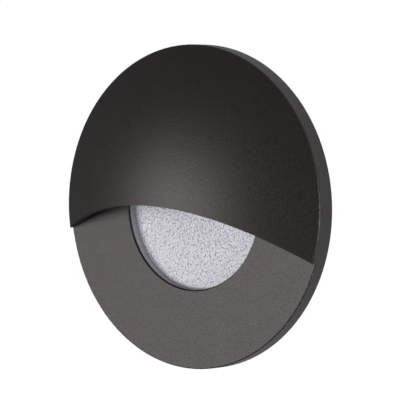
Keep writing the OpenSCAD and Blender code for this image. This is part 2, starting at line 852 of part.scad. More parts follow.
// Torsion spring: one unbroken tube
module clip_spring(side) {
  rings = len(spring_stations);
  points = [for (s = spring_stations) each wire_ring(s[0], s[1])];
  skin = [
    for (i = [0 : rings - 2], k = [0 : ring_sides - 1])
      let (a = i * ring_sides + k, b = i * ring_sides + (k + 1) % ring_sides)
      each [[a, b, b + ring_sides], [a, b + ring_sides, a + ring_sides]]
  ];
  first_cap = [for (k = [1 : ring_sides - 2]) [0, k + 1, k]];
  last = (rings - 1) * ring_sides;
  last_cap = [for (k = [1 : ring_sides - 2]) [last, last + k, last + k + 1]];
  color(steel) at_clip(side) polyhedron(points, concat(skin, first_cap, last_cap));
}

hood_bezel();
lens_gasket();
lens();
lens_clamp_ring();
clamp_ring_screws();
wall_gasket();
housing_gasket();
housing();
bezel_screws();
reflector();
led_emitter();
led_board();
thermal_pad();
led_board_screws();
led_leads();
lead_grommet();
driver_board();
driver_transformer();
driver_capacitor();
terminal_block();
driver_board_screws();
rear_cap();
rear_cap_seal();
rear_cap_screws();
gland_body();
gland_washer();
gland_locknut();
gland_seal();
gland_nut();
clip_bracket("left");  // clip_bracket_left
clip_bracket("right");  // clip_bracket_right
clip_bracket_screws();
clip_pin("left");  // clip_pin_left
clip_pin("right");  // clip_pin_right
clip_arm("left");  // clip_arm_left
clip_arm("right");  // clip_arm_right
clip_spring("left");  // clip_spring_left
clip_spring("right");  // clip_spring_right
clip_foot("left");  // clip_foot_left
clip_foot("right");  // clip_foot_right
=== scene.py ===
# %% [markdown]
# # A recessed wall spotlight with an eyelid hood
#
# The real light is set into a wall: a thin die-cast bezel lies on the wall, a half-dome hood stands over
# the upper half of a round aperture, and a pebbled glass lens closes the aperture. Behind the wall a ribbed
# can holds the light source, two sprung clips hold the can in its hole, and a gland takes the cable.
#
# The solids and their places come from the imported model, so this lesson is about looks. A finish could be a
# picture wrapped round the part, but here each one is worked out from noise patterns in real sizes. It then
# stays sharp at any distance, and it needs no file but this one.

import math

import bpy
import numpy as np
from mathutils import Matrix, Vector
from mathutils.kdtree import KDTree


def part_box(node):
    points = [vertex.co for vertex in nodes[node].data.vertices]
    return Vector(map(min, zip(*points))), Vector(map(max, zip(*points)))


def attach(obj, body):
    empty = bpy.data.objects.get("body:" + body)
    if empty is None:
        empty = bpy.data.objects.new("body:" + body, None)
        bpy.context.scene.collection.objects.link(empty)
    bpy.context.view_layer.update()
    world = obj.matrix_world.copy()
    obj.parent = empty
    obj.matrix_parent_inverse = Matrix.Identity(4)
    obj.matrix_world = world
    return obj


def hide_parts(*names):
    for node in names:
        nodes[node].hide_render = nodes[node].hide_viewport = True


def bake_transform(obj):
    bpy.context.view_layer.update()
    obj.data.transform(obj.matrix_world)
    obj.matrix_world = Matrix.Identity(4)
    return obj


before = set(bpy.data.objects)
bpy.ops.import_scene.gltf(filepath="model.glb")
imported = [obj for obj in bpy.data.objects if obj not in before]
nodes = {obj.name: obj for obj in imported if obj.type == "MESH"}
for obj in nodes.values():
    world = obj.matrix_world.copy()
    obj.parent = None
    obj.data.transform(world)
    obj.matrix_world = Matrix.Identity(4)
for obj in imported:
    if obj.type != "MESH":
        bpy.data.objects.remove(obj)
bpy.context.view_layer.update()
MM = 0.001

# %% [markdown]
# ## A small kit for finishes
#
# Blender describes a finish as a graph of nodes. Drawn by hand it is quick, but written out it is long, so
# a few helpers carry the load. These four make a node and set or wire its inputs, start a material from
# plain values, join a pattern to it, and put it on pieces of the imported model.

# %% Helpers that start a finish
def add_node(material, kind, inputs=None, **settings):
    """A new node of a material, with its settings made and each input set or wired."""
    made = material.node_tree.nodes.new("ShaderNode" + kind)
    for name, value in settings.items():
        setattr(made, name, value)
    for name, value in (inputs or {}).items():
        if isinstance(value, bpy.types.NodeSocket):
            material.node_tree.links.new(value, made.inputs[name])
        else:
            made.inputs[name].default_value = value
    return made


def plain_finish(name, colour, roughness, **sockets):
    """A material whose shader has these plain values; sockets are named with _ for each space."""
    material = bpy.data.materials.new(name)
    material.use_nodes = True
    shader = material.node_tree.nodes["Principled BSDF"]
    shader.inputs["Base Color"].default_value = (*colour, 1)
    shader.inputs["Roughness"].default_value = roughness
    for socket, value in sockets.items():
        shader.inputs[socket.replace("_", " ")].default_value = value
    return material, shader


def wire(material, output, shader, name):
    """Joins an output to one of the shader's inputs."""
    material.node_tree.links.new(output, shader.inputs[name])


def give(material, *names):
    """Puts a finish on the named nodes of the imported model."""
    for name in names:
        mesh = nodes[name].data
        mesh.materials.clear()
        mesh.materials.append(material)
    print(material.name, "->", ", ".join(names))


print("helpers:", [helper.__name__ for helper in (add_node, plain_finish, wire, give)])

# %% [markdown]
# ## Patterns in millimetres
#
# Paint, castings and moulded rubber all have a soft grain, and they differ in its size and crispness. Sizes
# are in millimetres, because that is how a maker thinks of a grain. A pattern could be laid on a flat map
# of the surface, but a part of many pieces has too many maps. So the patterns fill space and are read in
# the object's own coordinates, which travel with a piece as it moves.

# %% Helpers that make a pattern
EVEN = (1, 1, 1)
# How many ever finer noises lie over each other in a grain
SOFT = 2
FINE = 3
CRISP = 4
BROKEN = 5


def own_coordinates(material, stretch=EVEN):
    """The object's own coordinates, squeezed along each axis by the given factors."""
    place = add_node(material, "TexCoord").outputs["Object"]
    if stretch == EVEN:
        return place
    return add_node(material, "Mapping", {"Vector": place, "Scale": stretch}).outputs["Vector"]


def grain(material, size_mm, detail=SOFT, stretch=EVEN):
    """Noise from 0 to 1 whose blobs are about the given size."""
    return add_node(material, "TexNoise", {
        "Vector": own_coordinates(material, stretch),
        "Scale": 1 / (size_mm * MM),
        "Detail": detail,
    }).outputs["Fac"]


print("levels of detail in a grain:", SOFT, FINE, CRISP, BROKEN)

# %% [markdown]
# ## What follows a pattern
#
# A grain by itself changes nothing. On a real skin the tone, the gloss and the height often change together,
# because they have one cause, such as a bead that struck or a fleck of powder that melted. Each could have
# a noise of its own, but then they look printed on. These helpers let each of them follow any pattern, so
# that those with one cause can share one.

# %% Helpers that let a finish follow a pattern
# A noise lies mostly between these two, so this range is spread over the wanted one
NOISE_LOW = 0.3
NOISE_HIGH = 0.7


def levels(material, value, low, high, start=NOISE_LOW, end=NOISE_HIGH):
    """The value between start and end, spread over low to high."""
    return add_node(material, "MapRange", {
        "Value": value, "From Min": start, "From Max": end, "To Min": low, "To Max": high,
    }).outputs["Result"]


def roughness_by(material, shader, pattern, least, most, start=NOISE_LOW, end=NOISE_HIGH):
    """Lets the roughness run from least to most as the pattern goes from start to end."""
    wire(material, levels(material, pattern, least, most, start, end), shader, "Roughness")


def colour_by(material, shader, pattern, first, second, start=NOISE_LOW, end=NOISE_HIGH):
    """Lets the colour run from the first to the second as the pattern goes from start to end."""
    ramp = add_node(material, "ValToRGB", {"Fac": pattern})
    stops = ramp.color_ramp.elements
    for stop, place, colour in zip(stops, (start, end), (first, second)):
        stop.position = place
        stop.color = (*colour, 1)
    wire(material, ramp.outputs["Color"], shader, "Base Color")


def relief(material, shader, *layers):
    """Bumps on the surface: each layer is a pattern and its depth in millimetres."""
    normal = None
    for pattern, depth_mm in layers:
        inputs = {"Height": pattern, "Distance": depth_mm * MM, "Strength": 1.0}
        if normal is not None:
            inputs["Normal"] = normal
        normal = add_node(material, "Bump", inputs).outputs["Normal"]
    wire(material, normal, shader, "Normal")


print("a noise is spread from", NOISE_LOW, "to", NOISE_HIGH)

# %% [markdown]
# ## Powder coat on the bezel and hood
#
# The bezel and hood are one zinc casting under a warm dark grey powder coat. Powder melts into a skin that
# is never quite flat: it has a fine grain of about half a millimetre, like the peel of an orange, and it
# scatters the light into one broad soft highlight. A plain glossy paint would mirror the lamps instead, and
# a fully matt one would hide the shape of the hood. So the roughness lies in between and follows the grain,
# as does the tone, and two layers of relief break up the highlight. The highlight leans a little to the
# warm side, which a clear lacquer on top wouldn't do, so the gloss of the coat is tinted.

# %% Powder coat
COAT_DARK = (0.013, 0.0108, 0.0102)
COAT_LIGHT = (0.027, 0.0225, 0.0212)
COAT_ROUGHNESS = (0.34, 0.46)
COAT_GLOSS_TINT = (1.0, 0.92, 0.925, 1)
FLECK = 0.5
FLECK_DEPTH = 0.055
PEEL = 1.6
PEEL_DEPTH = 0.012


def powder_coat():
    """A warm grey coat, flecked and slightly wavy."""
    material, shader = plain_finish("powder_coat", COAT_LIGHT, COAT_ROUGHNESS[0],
                                    Specular_Tint=COAT_GLOSS_TINT)
    flecks = grain(material, FLECK, BROKEN)
    colour_by(material, shader, flecks, COAT_DARK, COAT_LIGHT)
    roughness_by(material, shader, flecks, *COAT_ROUGHNESS)
    relief(material, shader, (grain(material, PEEL), PEEL_DEPTH), (flecks, FLECK_DEPTH))
    return material


give(powder_coat(), "hood_bezel")

# %% [markdown]
# ## The pebbles of the lens
#
# The lens is pressed glass with a pebbled front that scatters the light of the lamp. Its pebbles are two
# thirds of a millimetre across, large enough to see up close, so a bump in the finish wouldn't do: the
# front is made as a real relief. The middles of the pebbles lie on a honeycomb that is shaken a little out
# of line, which gives the even but never regular look of pressed glass.

# %% Middles of the pebbles
PEBBLED_RADIUS = 25.7 * MM
PEBBLE = 0.68 * MM
PEBBLE_JITTER = 0.34
PEBBLE_SEED = 7
ROW_SHARE = math.sqrt(0.75)
SPARE_PEBBLES = 2


def pebble_middles():
    """Middles of the pebbles: every second row is set off by half a pebble, and all are shaken."""
    shake = np.random.default_rng(PEBBLE_SEED)
    rows = int(PEBBLED_RADIUS / PEBBLE / ROW_SHARE) + SPARE_PEBBLES
    columns = rows + SPARE_PEBBLES
    middles = []
    for row in range(-rows, rows + 1):
        for column in range(-columns, columns + 1):
            right, up = shake.uniform(-PEBBLE_JITTER, PEBBLE_JITTER, 2)
            x = (column + row % 2 / 2 + right) * PEBBLE
            middles.append((x, 0, (row + up) * PEBBLE * ROW_SHARE))
    return middles


print("pebbles:", len(pebble_middles()))

# %% [markdown]
# ## The relief of the lens
#
# Each point of the front rises by how near it is to the middle of the nearest pebble. Where two pebbles
# meet, that leaves a sharp valley, as a press tool with drilled dimples does. A search tree finds the
# nearest middle at once, where a plain search through all of them would take minutes.

# %% How far each point rises
PEBBLE_STEEPNESS = 2


def pebble_rises(points):
    """How far each point of the front rises, from 0 in a valley to 1 on the crown of a pebble."""
    middles = pebble_middles()
    tree = KDTree(len(middles))
    for index, middle in enumerate(middles):
        tree.insert(middle, index)
    tree.balance()
    rises = []
    for x, z in points:
        nearest = tree.find((x, 0, z))[2] / PEBBLE
        fade = min(1, max(0, (PEBBLED_RADIUS - math.hypot(x, z)) / PEBBLE))
        rises.append(fade * (1 - min(1, PEBBLE_STEEPNESS * nearest * nearest)))
    return rises


print("rise at the middle of the lens:", round(pebble_rises([(0, 0)])[0], 2))

# %% [markdown]
# ## The lens as a mesh
#
# The lens is a disc with ground edges. A square grid of points would be simplest, but it would leave the
# edge jagged. So the front is laid out in rings, close enough for each pebble to be rounded by several
# points. A fan of triangles closes them at the middle, and one flat face closes the rear.

# %% Rings and faces
RING_STEP = 0.204 * MM
# A circle is about six times as long as its radius
RADII_ROUND = 6


def circle(radius, around):
    """Points of a circle, as x and z."""
    turn = 2 * math.pi / around
    return [(radius * math.cos(step * turn), radius * math.sin(step * turn)) for step in range(around)]


def front_rings():
    """The middle point and rings round it, each with as many points as the outermost needs."""
    count = int(PEBBLED_RADIUS / RING_STEP)
    around = RADII_ROUND * count
    rings = [circle(PEBBLED_RADIUS * ring / count, around) for ring in range(1, count + 1)]
    return [[(0.0, 0.0)]] + rings


def ring_faces(ring_count, around):
    """A fan round the middle point, a band from each ring to the next, and one face over the last ring."""
    faces = [(0, 1 + step, 1 + (step + 1) % around) for step in range(around)]
    starts = [1 + ring * around for ring in range(ring_count)]
    for start, outer in zip(starts, starts[1:]):
        for step in range(around):
            after = (step + 1) % around
            faces.append((start + step, outer + step, outer + after, start + after))
    faces.append(tuple(range(starts[-1], starts[-1] + around)))
    return faces


print("rings over the front:", len(front_rings()) - 1)

# %% [markdown]
# ## The lens in its place
#
# The imported lens has a smooth front. A modifier could push it out, but its few large faces have no points to
# push, so a new lens on the same outline takes its place and rides on the can. Only its pebbles stand out
# from the imported front. The rise of each point is kept with the mesh, so that the finish can tell a crown
# from a valley and paint shade into the valleys.

# %% The lens
lens_low, lens_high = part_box("lens")
LENS_RADIUS = (lens_high.x - lens_low.x) / 2
LENS_FRONT = lens_low.y
LENS_REAR = lens_high.y
PEBBLE_HEIGHT = 0.16 * MM
GROUND_EDGE = 0.4 * MM
print("lens radius in mm:", round(LENS_RADIUS / MM, 2), "front at y:", round(LENS_FRONT / MM, 2))


def build_lens():
    """The pebbled front, the ground edges and the flat rear in one closed mesh."""
    rings = front_rings()
    around = len(rings[-1])
    front = [point for ring in rings for point in ring]
    rises = pebble_rises(front)
    vertices = [(x, LENS_FRONT - PEBBLE_HEIGHT * rise, z) for (x, z), rise in zip(front, rises)]
    edge = [(LENS_RADIUS - GROUND_EDGE, LENS_FRONT), (LENS_RADIUS, LENS_FRONT + GROUND_EDGE),
            (LENS_RADIUS, LENS_REAR - GROUND_EDGE), (LENS_RADIUS - GROUND_EDGE, LENS_REAR)]
    for radius, y in edge:
        vertices += [(x, y, z) for x, z in circle(radius, around)]
    ring_count = len(rings) - 1 + len(edge)
    mesh = bpy.data.meshes.new("lens_pebbled")
    mesh.from_pydata(vertices, [], ring_faces(ring_count, around))
    mesh.shade_smooth()
    rises += [0.0] * around * len(edge)
    mesh.attributes.new("rise", "FLOAT", "POINT").data.foreach_set("value", rises)
    return mesh


lens = bpy.data.objects.new("lens_pebbled", build_lens())
bpy.context.scene.collection.objects.link(lens)
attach(lens, "body")
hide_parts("lens")
print("lens faces:", len(lens.data.polygons))

# %% [markdown]
# ## Frosted glass
#
# The glass itself is frosted: light gets in, wanders and comes out again, and only a part passes straight
# through. A clear glass would show the dark inside of the can, which the real one hides. The shader's
# transmission is therefore low and its colour is a cool white. The valleys between the pebbles are painted
# darker, as painted shade that makes the relief read more crisply, and the surface keeps some gloss so that
# each pebble catches its own small highlight.

# %% Frosted glass
# Painted shade: the valleys between the pebbles get a darker colour than the crowns
GLASS_VALLEY_PAINTED_SHADE = (0.36, 0.355, 0.44)
GLASS_CROWN = (0.86, 0.85, 0.94)
VALLEY_SHADE_TO_CROWN = (0.25, 0.9)
GLASS_ROUGHNESS = (0.2, 0.36)
GLASS_CLEARNESS = 0.15
GLASS_IOR = 1.5
FROST = 0.5


def frosted_glass():
    """Cool white glass, with painted shade in the valleys of its relief."""
    material, shader = plain_finish("frosted_glass", GLASS_CROWN, GLASS_ROUGHNESS[0],
                                    IOR=GLASS_IOR, Transmission_Weight=GLASS_CLEARNESS)
    rise = add_node(material, "Attribute", attribute_name="rise").outputs["Fac"]
    # Painted shade: the colour follows the rise, dark in the valleys and light on the crowns
    colour_by(material, shader, rise, GLASS_VALLEY_PAINTED_SHADE, GLASS_CROWN, *VALLEY_SHADE_TO_CROWN)
    roughness_by(material, shader, grain(material, FROST), *GLASS_ROUGHNESS)
    return material


lens.data.materials.append(frosted_glass())
print(lens.data.materials[0].name, "->", lens.name)

# %% [markdown]
# ## Die-cast aluminium on the can and its cap
#
# The can and its rear cap are die-cast and blasted with fine beads. That leaves a soft grey skin with a
# grain of a few tenths of a millimetre, and slightly darker clouds where the metal chilled first. Metal
# takes its look from what it mirrors. A single even roughness would look like plastic film, so the
# roughness follows the marks of the beads, and a slow wave bends what little the skin mirrors.

# %% Die-cast aluminium
CAST_DARK = (0.46, 0.47, 0.49)
CAST_LIGHT = (0.54, 0.55, 0.565)
CAST_ROUGHNESS = (0.42, 0.62)
CHILL_CLOUD = 14
CAST_WAVE = 3
CAST_WAVE_DEPTH = 0.008
BEAD_MARK = 0.35
BEAD_DEPTH = 0.03


def cast_aluminium():
    """A blasted grey casting."""
    material, shader = plain_finish("cast_aluminium", CAST_LIGHT, CAST_ROUGHNESS[0], Metallic=1.0)
    beads = grain(material, BEAD_MARK, FINE)
    colour_by(material, shader, grain(material, CHILL_CLOUD, FINE), CAST_DARK, CAST_LIGHT)
    roughness_by(material, shader, beads, *CAST_ROUGHNESS)
    relief(material, shader, (grain(material, CAST_WAVE), CAST_WAVE_DEPTH), (beads, BEAD_DEPTH))
    return material


give(cast_aluminium(), "housing", "rear_cap")

# %% [markdown]
# ## Zinc-plated steel on the clips, pins and screws
#
# The clips, pins and screws are steel with a thin layer of zinc that keeps the rust away. It is brighter
# than the castings, drifts from blue to straw, and has fine scratches along the strip that it was rolled
# from. Such scratches could be drawn one by one. A noise that is stretched along one axis gives the same
# look to every piece at once.

# %% Zinc-plated steel
ZINC_BLUE = (0.56, 0.6, 0.68)
ZINC_STRAW = (0.72, 0.69, 0.6)
ZINC_ROUGHNESS = (0.2, 0.42)
ZINC_DRIFT = 5
SCRATCH = 0.25
SCRATCH_STRETCH = (0.08, 1, 1)
SCRATCH_DEPTH = 0.006


def zinc_steel():
    """Bright plated steel with fine scratches from side to side."""
    material, shader = plain_finish("zinc_steel", ZINC_BLUE, ZINC_ROUGHNESS[0], Metallic=1.0)
    scratches = grain(material, SCRATCH, CRISP, SCRATCH_STRETCH)
    colour_by(material, shader, grain(material, ZINC_DRIFT), ZINC_BLUE, ZINC_STRAW)
    roughness_by(material, shader, scratches, *ZINC_ROUGHNESS)
    relief(material, shader, (scratches, SCRATCH_DEPTH))
    return material


give(zinc_steel(), "lens_clamp_ring", "clamp_ring_screws", "bezel_screws", "led_board_screws",
     "driver_board_screws", "rear_cap_screws", "clip_bracket_left", "clip_bracket_right",
     "clip_bracket_screws", "clip_pin_left", "clip_pin_right", "clip_arm_left", "clip_arm_right")

# %% [markdown]
# ## Spring wire
#
# The clip springs are wound from bare hard-drawn wire. It is darker than the plated strip beside it, and
# the drawing leaves a very fine streaky grain. The wire is too thin for a relief to show, so only the tone
# and the roughness follow that grain.

# %% Spring wire
WIRE_DARK = (0.36, 0.35, 0.34)
WIRE_LIGHT = (0.6, 0.59, 0.56)
WIRE_ROUGHNESS = (0.2, 0.4)
DRAWN_GRAIN = 0.12
DRAWN_STRETCH = (1, 0.2, 1)


def spring_wire():
    """Bare drawn steel wire."""
    material, shader = plain_finish("spring_wire", WIRE_LIGHT, WIRE_ROUGHNESS[0], Metallic=1.0)
    drawn = grain(material, DRAWN_GRAIN, FINE, DRAWN_STRETCH)
    colour_by(material, shader, drawn, WIRE_DARK, WIRE_LIGHT)
    roughness_by(material, shader, drawn, *WIRE_ROUGHNESS)
    return material


give(spring_wire(), "clip_spring_left", "clip_spring_right")

# %% [markdown]
# ## Copies of the clip springs
#
# A torsion spring pushes each clip outward: one leg rests on the bracket, four curls go round the pin, and
# the other leg presses on the arm. When the arm folds, that leg goes with it and the curls share the turn.
# A rigid wire would be left behind and stick out where the arm had been. Each packed spring is copied, with
# its place baked into its points, and the copy takes the place of the imported one.


def winding_spring(side):
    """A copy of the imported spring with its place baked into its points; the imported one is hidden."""
    node = "clip_spring_" + side
    spring = bpy.data.objects.new("spring_wound_" + side, nodes[node].data.copy())
    bpy.context.scene.collection.objects.link(spring)
    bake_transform(spring)
    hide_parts(node)
    print(spring.name, "stands for", node)


for side in ("left", "right"):
    winding_spring(side)

# %% [markdown]
# ## Rubber seals and feet
#
# The seals, the grommet of the leads and the feet of the clips are moulded rubber. Rubber is almost dull
# and picks up dust. An even black would read as a hole in the picture, so a thin broken film of dust
# lightens it here and there, and fine pores break up its sheen.

# %% Rubber
RUBBER_CLEAN = (0.014, 0.014, 0.015)
RUBBER_DUSTY = (0.034, 0.033, 0.032)
CLEAN_TO_DUSTY = (0.4, 0.75)
RUBBER_ROUGHNESS = (0.6, 0.82)
DUST_PATCH = 3
PORE = 0.22
PORE_DEPTH = 0.02


def moulded_rubber():
    """Dull black rubber under a thin film of dust."""
    material, shader = plain_finish("moulded_rubber", RUBBER_CLEAN, RUBBER_ROUGHNESS[0])
    pores = grain(material, PORE, FINE)
    dust = grain(material, DUST_PATCH, BROKEN)
    colour_by(material, shader, dust, RUBBER_CLEAN, RUBBER_DUSTY, *CLEAN_TO_DUSTY)
    roughness_by(material, shader, pores, *RUBBER_ROUGHNESS)
    relief(material, shader, (pores, PORE_DEPTH))
    return material


give(moulded_rubber(), "wall_gasket", "housing_gasket", "lead_grommet", "rear_cap_seal", "gland_seal",
     "clip_foot_left", "clip_foot_right")

# %% [markdown]
# ## Silicone gasket
#
# The gasket in front of the lens is grey silicone, which shows in the photo as a cool grey band inside the
# aperture. It is smooth and a little waxy. Paint of the same grey would look hard, so some of the light
# goes under the skin and comes out beside the place where it went in.

# %% Silicone
SILICONE_DARK = (0.36, 0.36, 0.4)
SILICONE_LIGHT = (0.46, 0.46, 0.5)
SILICONE_ROUGHNESS = (0.38, 0.52)
SILICONE_SOFTNESS = 0.2
SILICONE_DEPTH = 1.0
HAZE = 1.1
SILICONE_GRAIN = 0.5
SILICONE_GRAIN_DEPTH = 0.01


def grey_silicone():
    """Cool grey waxy silicone."""
    material, shader = plain_finish("grey_silicone", SILICONE_LIGHT, SILICONE_ROUGHNESS[0],
                                    Subsurface_Weight=SILICONE_SOFTNESS,
                                    Subsurface_Scale=SILICONE_DEPTH * MM)
    haze = grain(material, HAZE, FINE)
    colour_by(material, shader, haze, SILICONE_DARK, SILICONE_LIGHT)
    roughness_by(material, shader, haze, *SILICONE_ROUGHNESS)
    relief(material, shader, (grain(material, SILICONE_GRAIN), SILICONE_GRAIN_DEPTH))
    return material


give(grey_silicone(), "lens_gasket")

# %% [markdown]
# ## Nylon gland
#
# The gland is moulded in glass-filled nylon. It lies beside black rubber, and the two must not look alike:
# the nylon has a low sheen and a leathery grain from its mould. A noise would be too soft here, so the
# grain comes from cells instead, each a shallow dimple with a raised edge.

# %% Glass-filled nylon
NYLON_DARK = (0.017, 0.017, 0.018)
NYLON_LIGHT = (0.029, 0.029, 0.03)
NYLON_ROUGHNESS = (0.34, 0.5)
LEATHER_CELL = 0.45
LEATHER_ENDS = (0.1, 0.8)
LEATHER_DEPTH = 0.012
FLOW_MARK = 4


def cells(material, size_mm, stretch=EVEN, **settings):
    """Cells of about the given size: 0 at the middle of each and higher toward its edge."""
    return add_node(material, "TexVoronoi", {
        "Vector": own_coordinates(material, stretch),
        "Scale": 1 / (size_mm * MM),
    }, **settings).outputs["Distance"]


def black_nylon():
    """Black nylon with a leathery grain and faint marks of its flow into the mould."""
    material, shader = plain_finish("black_nylon", NYLON_LIGHT, NYLON_ROUGHNESS[0])
    leather = cells(material, LEATHER_CELL)
    colour_by(material, shader, grain(material, FLOW_MARK, FINE), NYLON_DARK, NYLON_LIGHT)
    roughness_by(material, shader, leather, *NYLON_ROUGHNESS, *LEATHER_ENDS)
    relief(material, shader, (leather, LEATHER_DEPTH))
    return material


give(black_nylon(), "gland_body", "gland_nut", "gland_locknut")

# %% [markdown]
# ## Reflector
#
# The parts inside the can only show when the light is taken apart, but each still has its own maker and its
# own skin. The reflector is a bowl with a bright metal film. A perfect mirror would throw a hard spot on
# the lens, so real ones are dimpled, and so is this one.

# %% Reflector
MIRROR_COLOUR = (0.88, 0.88, 0.89)
MIRROR_ROUGHNESS = (0.08, 0.18)
MIRROR_CLOUD = 6
DIMPLE = 1.6
DIMPLE_DEPTH = 0.05


def bright_reflector():
    """A bright dimpled mirror."""
    material, shader = plain_finish("bright_reflector", MIRROR_COLOUR, MIRROR_ROUGHNESS[0], Metallic=1.0)
    roughness_by(material, shader, grain(material, MIRROR_CLOUD), *MIRROR_ROUGHNESS)
    relief(material, shader, (cells(material, DIMPLE), DIMPLE_DEPTH))
    return material


give(bright_reflector(), "reflector")

# %% [markdown]
# ## Light source
#
# Many small blue chips sit under one pool of yellow gel, which turns their light white. The chips could be
# modelled, but the gel hides their shape. Only a paler yellow over each one gives it away, so they are
# cells in the colour.

# %% Light source
GEL_OVER_CHIP = (0.9, 0.7, 0.16)
GEL_BETWEEN = (0.78, 0.52, 0.07)
GEL_ROUGHNESS = 0.3
CHIP_PITCH = 1.4
GEL_WAVE = 2
GEL_WAVE_DEPTH = 0.02


def light_gel():
    """Yellow gel with the chips showing through."""
    material, shader = plain_finish("light_gel", GEL_BETWEEN, GEL_ROUGHNESS)
    colour_by(material, shader, cells(material, CHIP_PITCH), GEL_OVER_CHIP, GEL_BETWEEN)
    relief(material, shader, (grain(material, GEL_WAVE), GEL_WAVE_DEPTH))
    return material


give(light_gel(), "led_emitter")

# %% [markdown]
# ## Boards
#
# The board of the light source has a white lacquer and the driver's board a green one. Under the lacquer
# the copper tracks stand up a little and show lighter. Cells that measure their distance along the two axes
# have square corners, as tracks do. The direction through the board is left out, so that both of its faces
# match.

# %% Boards
TRACK_PITCH = 3.2
TRACK_EDGE = (0.46, 0.5)
TRACK_HEIGHT = 0.035
THROUGH_THE_BOARD = (1, 0, 1)
LACQUER_ROUGHNESS = (0.25, 0.4)
LACQUER_WAVE = 1.5


def solder_mask(name, mask, track):
    """A board's lacquer with the copper tracks showing as a slightly raised, lighter pattern."""
    material, shader = plain_finish(name, mask, LACQUER_ROUGHNESS[0])
    tracks = cells(material, TRACK_PITCH, THROUGH_THE_BOARD, distance="MANHATTAN")
    colour_by(material, shader, tracks, mask, track, *TRACK_EDGE)
    roughness_by(material, shader, grain(material, LACQUER_WAVE), *LACQUER_ROUGHNESS)
    relief(material, shader, (levels(material, tracks, 0, 1, *TRACK_EDGE), TRACK_HEIGHT))
    return material


give(solder_mask("white_mask", mask=(0.78, 0.79, 0.78), track=(0.88, 0.88, 0.86)), "led_board")
give(solder_mask("green_mask", mask=(0.02, 0.11, 0.04), track=(0.05, 0.2, 0.08)), "driver_board")

# %% [markdown]
# ## Thermal pad
#
# A soft grey pad lies between the light's board and the floor of the can and carries the heat away. It is
# silicone filled with ceramic powder, so it looks dull and crumbly. Paste would do the same work, but a pad
# comes as a clean disc. One dull roughness is enough for it, and its tone and relief follow the crumbs.

# %% Thermal pad
PAD_DARK = (0.26, 0.3, 0.36)
PAD_LIGHT = (0.36, 0.4, 0.46)
PAD_ROUGHNESS = 0.75
CRUMB = 0.3
CRUMB_DEPTH = 0.02


def thermal_pad_skin():
    """Dull blue-grey filled silicone."""
    material, shader = plain_finish("thermal_pad_skin", PAD_LIGHT, PAD_ROUGHNESS)
    crumbs = grain(material, CRUMB, CRISP)
    colour_by(material, shader, crumbs, PAD_DARK, PAD_LIGHT)
    relief(material, shader, (crumbs, CRUMB_DEPTH))
    return material


give(thermal_pad_skin(), "thermal_pad")

# %% [markdown]
# ## Leads, parts of the driver and the washer
#
# The last five are small moulded or wrapped things: the sleeve of the leads, the tape round the
# transformer, the shrunk sleeve of the capacitor, the block of terminals and the pressed washer of the
# gland. Each could have a finish of its own, but they differ only in tone, sheen and grain, so one helper
# makes them all.

# %% Leads and the driver's parts
GLOSSIER = 0.06
DULLER = 0.08


def moulded(name, dark, light, roughness, grain_mm, depth_mm):
    """A moulded or wrapped skin: two close tones and a grain of the given size."""
    material, shader = plain_finish(name, light, roughness)
    skin = grain(material, grain_mm, FINE)
    colour_by(material, shader, skin, dark, light)
    roughness_by(material, shader, skin, roughness - GLOSSIER, roughness + DULLER)
    relief(material, shader, (skin, depth_mm))
    return material


give(moulded("lead_sleeve", dark=(0.42, 0.025, 0.02), light=(0.55, 0.04, 0.03),
             roughness=0.4, grain_mm=1.2, depth_mm=0.01), "led_leads")
give(moulded("winding_tape", dark=(0.55, 0.4, 0.05), light=(0.7, 0.55, 0.1),
             roughness=0.38, grain_mm=2.0, depth_mm=0.02), "driver_transformer")
give(moulded("shrink_sleeve", dark=(0.02, 0.03, 0.1), light=(0.035, 0.05, 0.16),
             roughness=0.3, grain_mm=2.5, depth_mm=0.01), "driver_capacitor")
give(moulded("terminal_nylon", dark=(0.03, 0.2, 0.08), light=(0.05, 0.28, 0.11),
             roughness=0.48, grain_mm=0.5, depth_mm=0.012), "terminal_block")
give(moulded("pressed_fibre", dark=(0.16, 0.03, 0.02), light=(0.26, 0.06, 0.04),
             roughness=0.7, grain_mm=0.4, depth_mm=0.03), "gland_washer")

# %% [markdown]
# ## Paint for the stage
#
# The photo shows the light on a pure white ground. More lamps would turn a pale ground white, but they
# would bleach the light as well. So the paint of the stage glows at strength 1 where the camera sees it,
# directly or through glass. In a gloss it has a brightness of its own, because the rim and the hood mirror
# their surroundings, and those are dimmer in the photo than its white ground. To all other light it is
# plain paint.

# %% Paint that is white when seen
PALE = 0.9
WHITE = (1, 1, 1, 1)


def larger(material, first, second):
    """The larger of two values."""
    return add_node(material, "Math", {0: first, 1: second}, operation="MAXIMUM").outputs["Value"]


def scaled(material, value, factor):
    """A value times a factor."""
    return add_node(material, "Math", {0: value, 1: factor}, operation="MULTIPLY").outputs["Value"]


def mixed(material, share, first, second):
    """The first shader, with the second over it by a share."""
    return add_node(material, "MixShader", {"Fac": share, 1: first, 2: second}).outputs["Shader"]


def stage_material(name):
    """A material with no shader yet, and the socket that its shader goes to."""
    material = bpy.data.materials.new(name)
    material.use_nodes = True
    tree = material.node_tree
    tree.nodes.remove(tree.nodes["Principled BSDF"])
    return material, tree.nodes["Material Output"].inputs["Surface"]


def white_when_seen(material, share, in_gloss):
    """A pale matt paint that is pure white by a share when seen, and of a given brightness in a gloss."""
    path = add_node(material, "LightPath").outputs
    seen = larger(material, path["Is Camera Ray"], path["Is Transmission Ray"])
    gloss = path["Is Glossy Ray"]
    brightness = larger(material, seen, scaled(material, gloss, in_gloss))
    matt = add_node(material, "BsdfDiffuse", {"Color": (PALE, PALE, PALE, 1)}).outputs["BSDF"]
    glow = add_node(material, "Emission", {"Color": WHITE, "Strength": brightness}).outputs["Emission"]
    return mixed(material, larger(material, scaled(material, seen, share), gloss), matt, glow)


print("the stage's paint reflects", PALE, "of the light")

